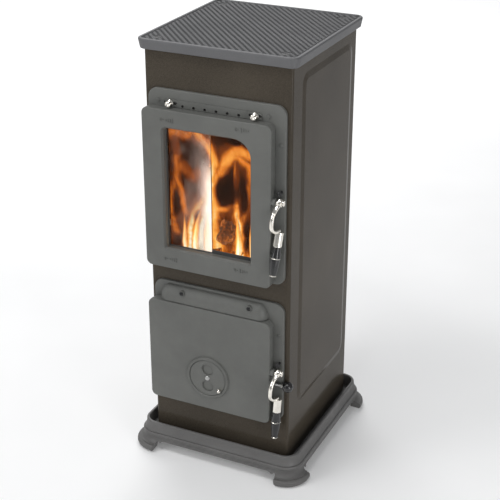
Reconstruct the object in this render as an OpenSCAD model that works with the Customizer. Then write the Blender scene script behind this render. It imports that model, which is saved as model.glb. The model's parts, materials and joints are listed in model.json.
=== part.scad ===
// Compact wood burning stove: an enamelled steel casing on a cast plinth, with a glazed
// firebox door above an ash door that carries a rotary air disc.
// +X is the right side as seen from the front, -Y is the front and +Z is up.
// The origin is the centre of the casing's footprint, on the floor. Lengths are in mm.

/* [Casing] */
// Width of the casing
body_w = 300; // [298:1:304]
// Depth of the casing
body_d = 310; // [300:1:330]
// Height of the stove from the floor to the top plate
stove_h = 880; // [876:1:900]
// Thickness of the casing sheet
casing_t = 2; // [1.5:0.5:2.5]
// Radius of the casing's upright corners
corner_r = 5; // [4:1:6]
// Height of the pressed field in each side panel
panel_rise = 2; // [1.5:0.5:4]
// Width of the bevel around the pressed field
panel_bevel = 12; // [6:1:14]

/* [Top plate] */
// Thickness of the top plate
top_t = 20; // [18:1:24]
// Overhang of the top plate past the casing
top_overhang = 12; // [10:1:14]
// Depth of the field inside the top plate's rim
top_recess = 2; // [1.5:0.5:3]

/* [Plinth] */
// Height of the plinth's rim
base_h = 62; // [58:1:66]
// Overhang of the rim past the casing
rim_overhang = 24; // [22:1:26]
// Overhang of the feet past the casing
toe_overhang = 46; // [44:1:48]
// Width of the trough between the casing and the rim
trough_w = 18; // [16:1:19]
// Height of the arch between the feet
arch_h = 23; // [20:1:25]
// Width of each foot's flat stretch along a side
foot_w = 10; // [8:1:14]

/* [Doors] */
// Left edge of both doors
door_x0 = -146; // [-147:0.5:-145]
// Right edge of both doors
door_x1 = 120; // [118:0.5:121]
// Lower edge of the firebox door
up_door_z0 = 432; // [430:1:434]
// Upper edge of the firebox door
up_door_z1 = 755.5; // [754:0.5:757]
// Lower edge of the ash door
low_door_z0 = 132; // [130:1:134]
// Upper edge of the ash door
low_door_z1 = 356.5; // [355:0.5:357]
// Distance from the casing to the front of the doors
door_stand = 26; // [25.5:0.5:27]

/* [Window] */
// Left edge of the window
win_x0 = -102.5; // [-104:0.5:-100]
// Right edge of the window
win_x1 = 77.5; // [75:0.5:79]
// Lower edge of the window
win_z0 = 475; // [473:1:478]
// Upper edge of the window
win_z1 = 719; // [716:1:721]
// Radius of the window's upper corners
win_r = 35; // [28:1:40]
// Radius of the upper left corner
win_left_r = 8; // [6:1:12]

/* [Latches] */
// Height of the firebox door's latch pin
up_latch_z = 608; // [604:1:612]
// Height of the ash door's latch pin
low_latch_z = 248; // [246:1:252]
// Lean of the firebox door's grip away from the stove
up_lean = 13.3; // [10:0.1:16]
// Lean of the ash door's grip away from the stove
low_lean = 6; // [4:0.5:9]
// Turn of each lever towards the hinge side
lever_yaw = 13; // [8:1:15]

/* [Air disc] */
// Centre of the air disc across the door
disc_x = -14; // [-18:1:-10]
// Height of the air disc's centre
disc_z = 206; // [202:1:210]
// Outer radius of the ring around the air disc
disc_ring_r = 46; // [44:1:48]
// Radius of each air hole
disc_hole_r = 12; // [10:0.5:12.5]
// Distance between the two air holes
disc_hole_gap = 37; // [34:1:38]

/* [Flue] */
// Outer radius of the flue spigot
flue_r = 59.5; // [57:0.5:60]
// Height of the flue's centre
flue_z = 785; // [783:1:786]
// Distance that the spigot stands out behind the casing
flue_reach = 46; // [40:1:50]

/* [Hidden] */
$fn = 48;

enamel = "#46413a";
iron = "#6a6b68";
steel = "#c9c4b8";
black = "#1c1c1e";
stone = "#b7a98f";

half_w = body_w / 2;
half_d = body_d / 2;
run = 0.05;              // radial clearance of a running fit
gap = 0.6;               // clearance between parts that move past each other

top_z = stove_h - top_t; // underside of the top plate
top_r = 18;
seat_t = 6;              // plinth ledge that carries the casing
seat_z = base_h - 26;    // top of that ledge

frame_t = 6;
frame_half = 141;
frame_y = -half_d - frame_t;          // front of the frame plates
door_y = -half_d - door_stand;        // front of the doors
skin = 5;                             // thickness of the doors' face
wall = 5;                             // thickness of the doors' rim
door_back = frame_y - 1;              // rear edge of the doors' rim
face_back = door_y + skin;

up_frame_z = [434, 789];
low_frame_z = [132, 393.5];
open_x = [-122, 98];                  // both openings behind the doors
up_open_z = [455, 735];
low_open_z = [148, 338];
collar_w = 5;
collar_y = frame_y - 8.6;             // front of the sealing collars

hinge_x = door_x0 + 8;
hinge_y = door_y + 12;
hinge_eye_r = 6.5;
hinge_pin_r = 3;
hinge_eye_h = 12;
up_hinge_z = [470, 700];
low_hinge_z = [160, 300];

latch_x = 134.6;                      // middle of the levers' eyes
latch_y = -half_d - 17;
latch_eye_r = 7.5;
latch_pin_r = 3.2;
catch_x = 133;
catch_rise = 17;                      // catch above the latch pin
bar_t = 8;
bar_w = 9;
grip_drop = 57;                       // top of the sleeve below the latch pin

sleeve_l = 29;
cone_l = 21;
ring_l = 2;
grip_l = 32;
cap_l = 4;

slide_knob_x = [-93, 81];
slide_knob_z = 764;
slide_travel = 11;
air_hole_x0 = -68;
air_hole_pitch = 23;
air_hole_z = 760;

rod_r = 3;
rod_y = -half_d - 10.5;
rod_z = 218;
rod_crank_x = 68;
rod_up_y = -60;
rod_travel = 20;
ball_r = 11;
ball_x = 153;

grate_z = 404;                        // top of the fixed grate frame
grate_hole = [-72, 92, -80, 70];      // x0, x1, y0, y1
ash_floor_z = 147;
liner_x = 124;
liner_top = 716;
pan = [-110, 86, -146, 100];          // x0, x1, y0, y1
pan_h = 62;

win_lip = 4;                          // wall of the bezel around the window
win_bevel = 3;                        // width of the bevel around the window
bezel_back = frame_y - 5;
glass_t = 4;
glass_grow = 5;                       // glass past the window on each side
gasket_t = 2;

// ---------- shared shapes ----------

// Outline of an upright or flat plate with its own radius at each corner, counterclockwise
// from the lower left corner.
function arc_points(cx, cz, r, from, steps) =
    [for (i = [0:steps]) let (a = from + 90 * i / steps) [cx + r * cos(a), cz + r * sin(a)]];

function outline(x, z, r, steps = 8) = concat(
    arc_points(x[0] + r[0], z[0] + r[0], r[0], 180, steps),
    arc_points(x[1] - r[1], z[0] + r[1], r[1], 270, steps),
    arc_points(x[1] - r[2], z[1] - r[2], r[2], 0, steps),
    arc_points(x[0] + r[3], z[1] - r[3], r[3], 90, steps)
);

function inset(x, by) = [x[0] + by, x[1] - by];

// Cubic curve through a, leaving towards b, arriving from c, at d.
function curve(a, b, c, d, steps) = [for (i = [0:steps]) let (t = i / steps)
    pow(1 - t, 3) * a + 3 * pow(1 - t, 2) * t * b + 3 * (1 - t) * t * t * c + pow(t, 3) * d];

// A 2D shape drawn in X and Z, extruded from y to y + depth.
module front(y, depth) {
    translate([0, y + depth, 0])
        rotate([90, 0, 0])
            linear_extrude(depth)
                children();
}

module plate(x, z, r, y, depth) {
    front(y, depth) polygon(outline(x, z, r));
}

// A plate whose front edge is rounded over, with the same radius at all four corners.
module soft_plate(x, z, r, y, depth, edge) {
    border = edge + 3;
    profile = concat(
        [[r - border, 0], [r, 0]],
        [for (a = [0:15:90]) [r - edge * (1 - cos(a)), depth - edge * (1 - sin(a))]],
        [[r - border, depth]]
    );
    translate([(x[0] + x[1]) / 2, y + depth, (z[0] + z[1]) / 2])
        rotate([90, 0, 0])
            swept_ring(x[1] - x[0], z[1] - z[0], r) polygon(profile);
    plate(inset(x, border - 1), inset(z, border - 1), [for (i = [0:3]) r - border + 1], y, depth);
}

// Sweeps a profile around a rounded rectangle. The profile's x is measured outwards from
// the corner centres, so x = r lies on the outline.
module swept_ring(w, d, r) {
    for (q = [0:3]) {
        across = q % 2 == 0 ? w / 2 : d / 2;
        along = q % 2 == 0 ? d : w;
        rotate([0, 0, 90 * q]) {
            translate([across - r, along / 2 - r, 0]) {
                rotate_extrude(angle = 90) children();
                rotate([90, 0, 0]) linear_extrude(along - 2 * r) children();
            }
        }
    }
}

module rounded_slab(w, d, r, z, t) {
    translate([0, 0, z])
        linear_extrude(t)
            polygon(outline([-w / 2, w / 2], [-d / 2, d / 2], [r, r, r, r]));
}

module rod_y_axis(x, z, y0, y1, r) {
    translate([x, y1, z]) rotate([90, 0, 0]) cylinder(h = y1 - y0, r = r);
}

module rod_x_axis(x0, x1, y, z, r) {
    translate([x0, y, z]) rotate([0, 90, 0]) cylinder(h = x1 - x0, r = r);
}

// Slotted pan head lying against the plane y, facing the front (side 1) or the rear (-1).
module pan_head(x, z, y, r, side = 1) {
    translate([x, y, z]) rotate([90 * side, 0, 0]) difference() {
        rotate_extrude()
            polygon(concat([[0, 0], [r, 0]], curve([r, 0.8], [r * 0.9, 2], [r * 0.4, 2.4], [0, 2.5], 5)));
        translate([-r, -0.5, 1.5]) cube([2 * r, 1, 2]);
    }
}

// ---------- plinth and casing ----------

module base_casting() {
    r = 30;
    o = r - rim_overhang;
    edge = o + rim_overhang;
    toe = o + toe_overhang;
    wall_x = o + trough_w;
    rim = curve([edge - 3.5, base_h], [edge - 1, base_h], [edge, base_h - 1], [edge, base_h - 4], 6);
    flare = curve([edge + 0.2, base_h - 8], [edge + 1, base_h - 13], [edge + 3, 45], [edge + 5, 42], 6);
    bead = curve([edge + 4, 40.5], [edge + 9, 41], [edge + 9, 33], [edge + 5, 32.5], 8);
    cove = curve([edge + 5, 31], [edge + 4.5, 24], [edge + 6, 18], [toe - 7, 17], 6);
    scroll = curve([toe - 7, 15.5], [toe + 1.5, 17], [toe + 2, 4], [toe - 6, 0], 10);
    outer = concat(rim, flare, bead, cove, scroll);
    inner = [
        [wall_x + 3, 0], [wall_x + 4, 20], [wall_x, seat_z - seat_t],
        [wall_x, base_h - 2], [wall_x + 1, base_h]
    ];
    ring_w = body_w + 2 * rim_overhang;
    ring_d = body_d + 2 * rim_overhang;
    ledge_w = body_w + 2 * trough_w + 2;
    ledge_d = body_d + 2 * trough_w + 2;
    foot_x = half_w - foot_w;
    foot_y = half_d - foot_w;
    color(iron) difference() {
        union() {
            swept_ring(ring_w, ring_d, r) polygon(concat(outer, inner));
            rounded_slab(ledge_w, ledge_d, wall_x + 1, seat_z - seat_t, seat_t);
        }
        rounded_slab(220, 230, 12, 0, base_h);
        front(-half_d - 60, body_d + 120) arch(foot_x);
        rotate([0, 0, 90]) front(-half_w - 60, body_w + 120) arch(foot_y);
    }
}

// Opening between two feet: straight in the middle, with a small cusp before each foot.
module arch(reach) {
    lip = arch_h - 1;
    side = concat(
        [[reach - 22, arch_h]],
        curve([reach - 16, lip], [reach - 12, lip - 4], [reach - 9, lip - 2], [reach - 7, lip], 5),
        curve([reach - 6, lip], [reach - 1, lip], [reach - 3, 10], [reach + 3, 0], 6)
    );
    mirrored = [for (i = [len(side) - 1:-1:0]) [-side[i][0], side[i][1]]];
    polygon(concat(side, [[reach + 3, -1], [-reach - 3, -1]], mirrored));
}

// Pressed field of a side panel, as a block with a bevelled edge.
module side_field(out) {
    y = [-half_d + 43, half_d - 22];
    z = [base_h + 86, top_z - 24];
    slope = panel_bevel / panel_rise;
    hull() {
        for (rise = [-2, panel_rise]) {
            by = rise * slope;
            translate([out + rise - 0.05, 0, 0])
                rotate([90, 0, 90])
                    linear_extrude(0.05)
                        polygon(outline(inset(y, by), inset(z, by), [for (i = [0:3]) 24 - by], 6));
        }
    }
}

module casing() {
    h = top_z - seat_z;
    lip = 14;
    color(enamel) difference() {
        union() {
            rounded_slab(body_w, body_d, corner_r, seat_z, h);
            side_field(half_w);
            mirror([1, 0, 0]) side_field(half_w);
        }
        rounded_slab(body_w - 2 * casing_t, body_d - 2 * casing_t, corner_r - casing_t, seat_z - 1, h + 2);
        side_field(half_w - casing_t);
        mirror([1, 0, 0]) side_field(half_w - casing_t);
        translate([-half_w + lip, half_d - 3, seat_z - 1]) cube([body_w - 2 * lip, 4, h + 2]);
        plate(inset(open_x, -1), inset(up_open_z, -1), [6, 6, 6, 6], -half_d - 1, 4);
        plate(inset(open_x, -1), inset(low_open_z, -1), [6, 6, 6, 6], -half_d - 1, 4);
        plate([-100, 88], [air_hole_z - 6, air_hole_z + 6], [3, 3, 3, 3], -half_d - 1, 4);
        frame_screw_holes(-half_d - 1, 4);
        rear_screw_holes(half_d - 3, 4);
    }
}

frame_screws_at = concat(
    [for (z = [165, 325, 500, 715]) [131.5, z]],
    [for (z = [210, 270, 520, 650]) [-131.5, z]]
);

module frame_screw_holes(y, depth) {
    for (p = frame_screws_at) rod_y_axis(p[0], p[1], y, y + depth, 2.1);
}

module frame_screws() {
    color(iron) for (p = frame_screws_at) {
        pan_head(p[0], p[1], frame_y, 3.6);
        rod_y_axis(p[0], p[1], frame_y, -half_d + casing_t + 4, 2);
    }
}

rear_screws_at = [for (x = [-1, 1], z = [80, 270, 460, 650, 840]) [x * (half_w - 8), z]];

module rear_screw_holes(y, depth) {
    for (p = rear_screws_at) rod_y_axis(p[0], p[1], y, y + depth, 2.1);
}

module rear_panel() {
    color(enamel) difference() {
        plate([-half_w + 2, half_w - 2], [seat_z, top_z], [2, 2, 2, 2], half_d, casing_t);
        rod_y_axis(0, flue_z, half_d - 1, half_d + casing_t + 1, flue_r - 2);
        rear_screw_holes(half_d - 1, casing_t + 2);
        collar_screw_holes(half_d - 1, casing_t + 2);
    }
}

module rear_screws() {
    color(steel) for (p = rear_screws_at) {
        pan_head(p[0], p[1], half_d + casing_t, 3.6, -1);
        rod_y_axis(p[0], p[1], half_d - casing_t - 3, half_d + casing_t, 2);
    }
}

// ---------- top plate ----------

top_screws_at = [for (x = [-129, 129], y = [-half_d + 17, half_d - 22]) [x, y]];

module top_plate() {
    w = body_w + 2 * top_overhang;
    d = body_d + 2 * top_overhang;
    rim = 7;
    taper = 3;
    edge = concat(
        [[top_r - rim - 1, 0], [top_r - taper - 1, 0], [top_r - taper, 1]],
        [[top_r, top_t - 4]],
        curve([top_r, top_t - 3], [top_r, top_t - 1], [top_r - 1, top_t], [top_r - 3, top_t], 5),
        [[top_r - rim + 1, top_t], [top_r - rim, top_t - 1], [top_r - rim - 1, top_t - top_recess - 0.4]]
    );
    field_w = w - 2 * rim;
    field_d = d - 2 * rim;
    inner_w = body_w - 2 * casing_t - 2;
    inner_d = body_d - 2 * casing_t - 2;
    color(iron) difference() {
        union() {
            translate([0, 0, top_z]) swept_ring(w, d, top_r) polygon(edge);
            rounded_slab(field_w, field_d, top_r - rim, top_z + top_t - top_recess - 6, 6);
            rounded_slab(inner_w, inner_d, corner_r, top_z - 6, 8);
            for (p = top_screws_at) translate([p[0], p[1], top_z - 6]) cylinder(h = top_t - 2, r = 8);
        }
        rounded_slab(inner_w - 12, inner_d - 12, corner_r, top_z - 7, top_t - top_recess + 1);
        for (p = top_screws_at) translate([p[0], p[1], top_z - 7]) {
            cylinder(h = top_t + 8, r = 3.2);
            translate([0, 0, 7 + top_t - top_recess - 3.2]) cylinder(h = 3.3, r1 = 3.2, r2 = 6.5);
        }
    }
}

module top_screws() {
    color(black) for (p = top_screws_at) translate([p[0], p[1], top_z]) difference() {
        union() {
            translate([0, 0, top_t - top_recess - 3.1]) cylinder(h = 3, r1 = 3, r2 = 6);
            translate([0, 0, -16]) cylinder(h = top_t + 11, r = 3);
        }
        translate([-7, -0.7, top_t - top_recess - 1.4]) cube([14, 1.4, 3]);
    }
}

// ---------- front frames ----------

// Eyes on a frame that hold the hinge pins of a door.
module hinge_eyes(heights) {
    for (z = heights) {
        translate([hinge_x, hinge_y, z]) cylinder(h = hinge_eye_h, r = hinge_eye_r);
        translate([hinge_x + 1, hinge_y, z]) cube([hinge_eye_r - 1, frame_y - hinge_y + 1, hinge_eye_h]);
    }
}

module hinge_eye_bores(heights) {
    for (z = heights) translate([hinge_x, hinge_y, z - 1]) cylinder(h = hinge_eye_h + 2, r = hinge_pin_r);
}

module hinge_pins(heights) {
    for (z = heights) translate([hinge_x, hinge_y, z - 2]) {
        cylinder(h = 2 * hinge_eye_h + 4, r = hinge_pin_r);
        cylinder(h = 2, r = hinge_pin_r + 2);
    }
}

// Ridge around an opening that the door's rope seal presses on.
module collar(z) {
    plate(inset(open_x, -collar_w), inset(z, -collar_w), [8, 8, 8, 8], collar_y, frame_y - collar_y + 1);
}

module opening(z) {
    plate(open_x, z, [5, 5, 5, 5], collar_y - 1, frame_t + 20);
}

// Bore of a catch stud and the seats of the frame's screws.
module catch_bore(z) {
    rod_y_axis(catch_x, z + catch_rise, frame_y - 1, -half_d + 1, 3);
}

// Row of air holes from y back into the casing.
module air_holes(y, r) {
    for (i = [0:5]) rod_y_axis(air_hole_x0 + i * air_hole_pitch, air_hole_z, y, -half_d + 1, r);
}

module upper_frame() {
    knob_slot = slide_travel + 2.8;
    color(iron) difference() {
        union() {
            soft_plate([-frame_half, frame_half], up_frame_z, 20, frame_y, frame_t, 2);
            collar(up_open_z);
            hinge_eyes(up_hinge_z);
            plate([-106, 94], [756.8, 771], [3, 3, 7, 7], frame_y - 1.5, 2);
            for (x = [-119, 107]) plate([x - 1.2, x + 1.2], [762, 771], [1, 1, 1, 1], frame_y - 1.2, 2);
            for (x = [-119, 107]) plate([x - 4, x + 4], [765.4, 767.8], [1, 1, 1, 1], frame_y - 1.2, 2);
        }
        opening(up_open_z);
        hinge_eye_bores(up_hinge_z);
        catch_bore(up_latch_z);
        frame_screw_holes(frame_y - 1, frame_t + 2);
        air_holes(frame_y - 3, 2.8);
        for (x = slide_knob_x) {
            reach = [x - knob_slot, x + knob_slot];
            rise = [slide_knob_z - 2.8, slide_knob_z + 2.8];
            plate(reach, rise, [2.7, 2.7, 2.7, 2.7], frame_y - 3, frame_t + 4);
        }
        plate([-122, 110], [751, 769], [1, 1, 1, 1], -half_d - 2.6, 3);
    }
}

hood_z = low_door_z1 + 1.5;
hood_x = [-124, 108];
hood_rise = 30;
hood_out = 17;
hood_screws_at = [-73, 73];
hood_screw_z = hood_z + 20;

// Rounded cover over the ash door: a quarter oval in section with quarter-round ends.
module hood() {
    profile = [for (a = [0:10:90]) [hood_out * cos(a), hood_rise * sin(a)]];
    section = concat([[0, 0]], profile);
    translate([0, frame_y, hood_z]) {
        for (end = [0, 1]) {
            translate([end == 0 ? hood_x[0] + hood_out : hood_x[1] - hood_out, 0, 0])
                rotate([0, 0, end == 0 ? 180 : 270])
                    rotate_extrude(angle = 90) polygon(section);
        }
        translate([hood_x[0] + hood_out, 0, 0])
            rotate([90, 0, 90])
                linear_extrude(hood_x[1] - hood_x[0] - 2 * hood_out)
                    mirror([1, 0]) polygon(section);
        translate([hood_x[0] + hood_out, 0, 0]) cube([hood_x[1] - hood_x[0] - 2 * hood_out, 3, hood_rise]);
    }
}

module lower_frame() {
    color(iron) difference() {
        union() {
            soft_plate([-frame_half, frame_half], low_frame_z, 20, frame_y, frame_t, 2);
            collar(low_open_z);
            hinge_eyes(low_hinge_z);
            hood();
            for (x = hood_screws_at) rod_y_axis(x, hood_screw_z, frame_y - 15, frame_y, 6);
        }
        opening(low_open_z);
        hinge_eye_bores(low_hinge_z);
        catch_bore(low_latch_z);
        frame_screw_holes(frame_y - 1, frame_t + 2);
        for (x = hood_screws_at) rod_y_axis(x, hood_screw_z, frame_y - 20, -half_d - 1, 2.6);
        rod_x_axis(open_x[1] - 2, open_x[1] + collar_w + 2, rod_y, rod_z, rod_r + run);
    }
}

module hood_screws() {
    color(black) for (x = hood_screws_at) {
        pan_head(x, hood_screw_z, frame_y - 15, 4.4);
        rod_y_axis(x, hood_screw_z, frame_y - 15, -half_d - 1, 2.5);
    }
}

module catch(z) {
    rod_y_axis(catch_x, z + catch_rise, frame_y - 9, -half_d, 3);
    translate([catch_x, frame_y - 9, z + catch_rise]) rotate([90, 0, 0]) rotate_extrude()
        polygon(concat([[0, 0]], curve([3.4, 0], [6.4, 0.4], [6.4, 3.6], [0, 4.2], 8)));
}

// ---------- doors ----------

// Cast door shell: a face with a rim, cut back along the hinge side so that it can swing.
module door_shell(z) {
    r = 12;
    inner_r = r - wall + 1;
    difference() {
        soft_plate([door_x0, door_x1], z, r, door_y, door_back - door_y, 2.2);
        plate(inset([door_x0, door_x1], wall), inset(z, wall), [for (i = [0:3]) inner_r], face_back, 20);
        translate([door_x0 - 1, hinge_y - 3, z[0] - 1]) cube([hinge_x - door_x0 + 1, 20, z[1] - z[0] + 2]);
    }
}

// Pockets in the door's hinge edge that clear the frame's eyes and the pins' heads.
module hinge_pockets(heights) {
    for (z = heights) translate([hinge_x, hinge_y, z - 3])
        cylinder(h = hinge_eye_h + 3 + gap, r = hinge_eye_r + 0.7);
}

// Ears on the door that ride on the hinge pins, just above the eyes on the frame.
module door_ears(heights) {
    for (z = heights) translate([0, 0, z + hinge_eye_h + gap]) {
        translate([hinge_x, hinge_y, 0]) cylinder(h = hinge_eye_h, r = hinge_eye_r);
        translate([door_x0 + 1, face_back - 1, 0])
            cube([2 * hinge_eye_r + 1, hinge_y - face_back + 1, hinge_eye_h]);
    }
}

module door_ear_bores(heights) {
    for (z = heights) translate([hinge_x, hinge_y, z + hinge_eye_h])
        cylinder(h = hinge_eye_h + 2, r = hinge_pin_r + run);
}

// Lug on the door's right-hand rim that holds the latch pin.
module latch_lug(z) {
    rod_x_axis(door_x1 - 8, latch_x - bar_w / 2 - 2.6, latch_y, z, latch_eye_r);
}

module latch_lug_bore(z) {
    rod_x_axis(door_x1 - 10, latch_x, latch_y, z, latch_pin_r);
}

module latch_pin(z) {
    tail = latch_x + bar_w / 2 + 1.4;
    rod_x_axis(door_x1 - 8, tail, latch_y, z, latch_pin_r);
    rod_x_axis(tail, tail + 2.6, latch_y, z, 5.4);
}

module window_shape(grow) {
    low = 3 + grow;
    left = win_left_r + grow;
    right = win_r + grow;
    x = inset([win_x0, win_x1], -grow);
    z = inset([win_z0, win_z1], -grow);
    polygon(outline(x, z, [low, low, right, left], 12));
}

clip_at = [for (x = [win_x0 - glass_grow - 5, win_x1 + glass_grow + 5], z = [520, 670]) [x, z]];

module upper_door() {
    color(iron) difference() {
        union() {
            door_shell([up_door_z0, up_door_z1]);
            front(face_back - 1, bezel_back - face_back + 1) window_shape(win_lip);
            door_ears(up_hinge_z);
            latch_lug(up_latch_z);
            for (p = clip_at) rod_y_axis(p[0], p[1], face_back - 1, bezel_back + gasket_t + glass_t, 3.6);
        }
        front(door_y - 1, 40) window_shape(0);
        hull() {
            front(door_y - 1.05, 0.05) window_shape(win_bevel * 1.2);
            front(door_y + 5, 0.05) window_shape(0);
        }
        hinge_pockets(up_hinge_z);
        door_ear_bores(up_hinge_z);
        latch_lug_bore(up_latch_z);
        for (p = clip_at) rod_y_axis(p[0], p[1], face_back + 3, 0, 2);
    }
}

module glass_gasket() {
    color(black) difference() {
        front(bezel_back, gasket_t) window_shape(win_lip);
        front(bezel_back - 1, gasket_t + 2) window_shape(-1.5);
    }
}

module door_glass() {
    color("#30221a", 0.4) front(bezel_back + gasket_t, glass_t) window_shape(glass_grow - 0.5);
}

module glass_clips() {
    y = bezel_back + gasket_t + glass_t;
    color(steel) for (p = clip_at) difference() {
        inward = p[0] < 0 ? 1 : -1;
        x = [p[0] - 4, p[0] + 4];
        plate(inward > 0 ? [x[0], x[1] + 7] : [x[0] - 7, x[1]], [p[1] - 7, p[1] + 7], [2, 2, 2, 2], y, 2);
        rod_y_axis(p[0], p[1], y - 1, y + 3, 2.1);
    }
}

module clip_screws() {
    y = bezel_back + gasket_t + glass_t + 2;
    color(steel) for (p = clip_at) {
        pan_head(p[0], p[1], y, 3.4, -1);
        rod_y_axis(p[0], p[1], y - 10, y, 1.95);
    }
}

// Rope seal that presses on the frame's collar.
module rope_seal(z) {
    r = 8;
    w = open_x[1] - open_x[0] + collar_w;
    h = z[1] - z[0] + collar_w;
    translate([(open_x[0] + open_x[1]) / 2, face_back + 3, (z[0] + z[1]) / 2])
        rotate([90, 0, 0])
            swept_ring(w, h, r) translate([r, 0]) circle(r = 2.95);
}

// Raised ring around the air disc.
module disc_ring() {
    r = disc_ring_r;
    crown = curve([r - 5, 4.8], [r - 3.6, 5.6], [r - 0.8, 5], [r, 0.5], 6);
    translate([disc_x, door_y, disc_z])
        rotate([90, 0, 0])
            rotate_extrude()
                polygon(concat([[r - 6, -2], [r - 6, 3.4]], crown, [[r, -2]]));
}

module lower_door() {
    color(iron) difference() {
        union() {
            door_shell([low_door_z0, low_door_z1]);
            door_ears(low_hinge_z);
            latch_lug(low_latch_z);
            disc_ring();
        }
        for (s = [-1, 1])
            rod_y_axis(disc_x + s * disc_hole_gap / 2, disc_z, door_y - 1, face_back + 1, disc_hole_r);
        rod_y_axis(disc_x, disc_z, door_y - 1, face_back + 1, 3);
        hinge_pockets(low_hinge_z);
        door_ear_bores(low_hinge_z);
        latch_lug_bore(low_latch_z);
        translate([door_x1 - wall - 4, rod_y - rod_r - 1.5, rod_z - rod_r - 1.5])
            cube([wall + 8, 20, 2 * rod_r + 3]);
    }
}

disc_r = disc_ring_r - 6.4;
disc_t = 3.4;
disc_front = door_y - 0.3 - disc_t;

module air_disc() {
    color(iron) difference() {
        translate([disc_x, disc_front + disc_t, disc_z]) rotate([90, 0, 0]) rotate_extrude()
            polygon([[0, 0], [disc_r, 0], [disc_r, disc_t - 1], [disc_r - 1.4, disc_t], [0, disc_t]]);
        for (s = [-1, 1]) {
            rod_y_axis(disc_x, disc_z + s * disc_hole_gap / 2, disc_front - 1, door_y, disc_hole_r);
            translate([disc_x, disc_front - 0.01, disc_z + s * disc_hole_gap / 2]) rotate([-90, 0, 0])
                cylinder(h = 1.4, r1 = disc_hole_r + 1.4, r2 = disc_hole_r);
        }
        rod_y_axis(disc_x, disc_z, disc_front - 1, door_y, 3 + run);
        rod_y_axis(lug_x, lug_z, disc_front - 1, disc_front + lug_tenon, 2);
    }
}

lug_x = disc_x + 28;
lug_z = disc_z - 21;
lug_tenon = 1.4;

module disc_lug() {
    color(steel) {
        rod_y_axis(lug_x, lug_z, disc_front, disc_front + lug_tenon, 2);
        translate([lug_x, disc_front, lug_z]) rotate([90, 0, 0]) rotate_extrude()
            polygon(concat([[0, 0]], curve([2.6, 0], [4.6, 3], [5, 9], [0, 9.5], 8)));
    }
}

module disc_rivet() {
    color(steel) {
        rod_y_axis(disc_x, disc_z, disc_front - 0.3, face_back + 2, 3);
        translate([disc_x, disc_front - 0.3, disc_z]) rotate([90, 0, 0]) rotate_extrude()
            polygon(concat([[0, 0]], curve([5, 0], [5, 1.6], [3, 2.6], [0, 2.8], 6)));
        rod_y_axis(disc_x, disc_z, face_back, face_back + 2.5, 5);
    }
}

// ---------- latch levers ----------

// Places a piece on the lever's own axes: -Y runs outwards in the lever's plane.
module on_lever(z) {
    translate([latch_x, latch_y, z]) rotate([0, 0, -lever_yaw]) children();
}

// Places a piece on the grip's axis, with +Z pointing from the sleeve's top to the end cap.
module on_grip(z, lean) {
    on_lever(z) translate([0, 0, -grip_drop]) rotate([180 - lean, 0, 0]) children();
}

// Bar of the lever in its own plane, as the path of its middle line: outwards, then height.
function bar_path() = concat(
    curve([2, -2], [14, -9], [23, -17], [24.5, -32], 9),
    curve([25, -38], [26, -51], [16, -56], [1, -54], 9)
);

function direction(p, i) = let (d = p[min(i + 1, len(p) - 1)] - p[max(i - 1, 0)]) d / norm(d);

function stroke(p, half) = concat(
    [for (i = [0:len(p) - 1]) let (d = direction(p, i)) p[i] + half * [-d[1], d[0]]],
    [for (i = [len(p) - 1:-1:0]) let (d = direction(p, i)) p[i] - half * [-d[1], d[0]]]
);

module lever_bar(z) {
    on_lever(z)
        translate([bar_w / 2, 0, 0])
            rotate([90, 0, -90])
                linear_extrude(bar_w)
                    polygon(stroke(bar_path(), bar_t / 2));
}

module lever(z, lean) {
    eye_w = bar_w + 2;
    nose = [8, 7, latch_eye_r + 1.7];
    difference() {
        union() {
            rod_x_axis(latch_x - eye_w / 2, latch_x + eye_w / 2, latch_y, z, latch_eye_r);
            translate([latch_x - nose[0] / 2, latch_y - nose[1] / 2, z]) cube(nose);
            difference() {
                lever_bar(z);
                on_grip(z, lean) cylinder(h = sleeve_l, r = 16);
            }
            on_grip(z, lean) translate([0, 0, -6]) cylinder(h = sleeve_l + cone_l + grip_l, r = 4);
        }
        rod_x_axis(latch_x - 20, latch_x + 20, latch_y, z, latch_pin_r + run);
    }
}

module sleeve(z, lean) {
    on_grip(z, lean) rotate_extrude()
        polygon([[4, 0], [7.4, 0], [8.5, 1], [8.5, sleeve_l - 1], [7.8, sleeve_l], [4, sleeve_l]]);
}

module grip(z, lean) {
    cone = concat([[4, 0], [7, 0]], curve([7, 0], [7.6, 8], [8.6, 14], [9.6, cone_l], 6), [[4, cone_l]]);
    shank_z = cone_l + ring_l;
    shank_end = shank_z + grip_l;
    side = curve([9.4, shank_z], [9.2, shank_z + 10], [7.6, shank_z + 24], [6.4, shank_end], 6);
    shank = concat([[4, shank_z]], side, [[4, shank_end]]);
    on_grip(z, lean) translate([0, 0, sleeve_l]) {
        rotate_extrude() polygon(cone);
        rotate_extrude() polygon(shank);
        translate([0, 0, cone_l - 1]) difference() {
            cylinder(h = ring_l + 2, r = 6);
            translate([0, 0, -1]) cylinder(h = ring_l + 4, r = 4);
        }
    }
}

module grip_ring(z, lean) {
    on_grip(z, lean) translate([0, 0, sleeve_l + cone_l]) rotate_extrude()
        polygon([[6, 0], [9.4, 0], [10, ring_l / 2], [9.4, ring_l], [6, ring_l]]);
}

module end_cap(z, lean) {
    on_grip(z, lean) translate([0, 0, sleeve_l + cone_l + ring_l + grip_l]) rotate_extrude()
        polygon(concat([[0, 0], [6.4, 0]], curve([7.2, 0.8], [7.2, 2.6], [4, cap_l], [0, cap_l], 6)));
}

// ---------- air slide ----------

module air_slide() {
    color(steel) difference() {
        plate([-108, 96], [753, 768.4], [1, 1, 1, 1], -half_d - 2.3, 2);
        air_holes(-half_d - 3, 3.2);
        for (x = slide_knob_x) rod_y_axis(x, slide_knob_z, -half_d - 3, -half_d + 1, 2);
    }
}

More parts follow.
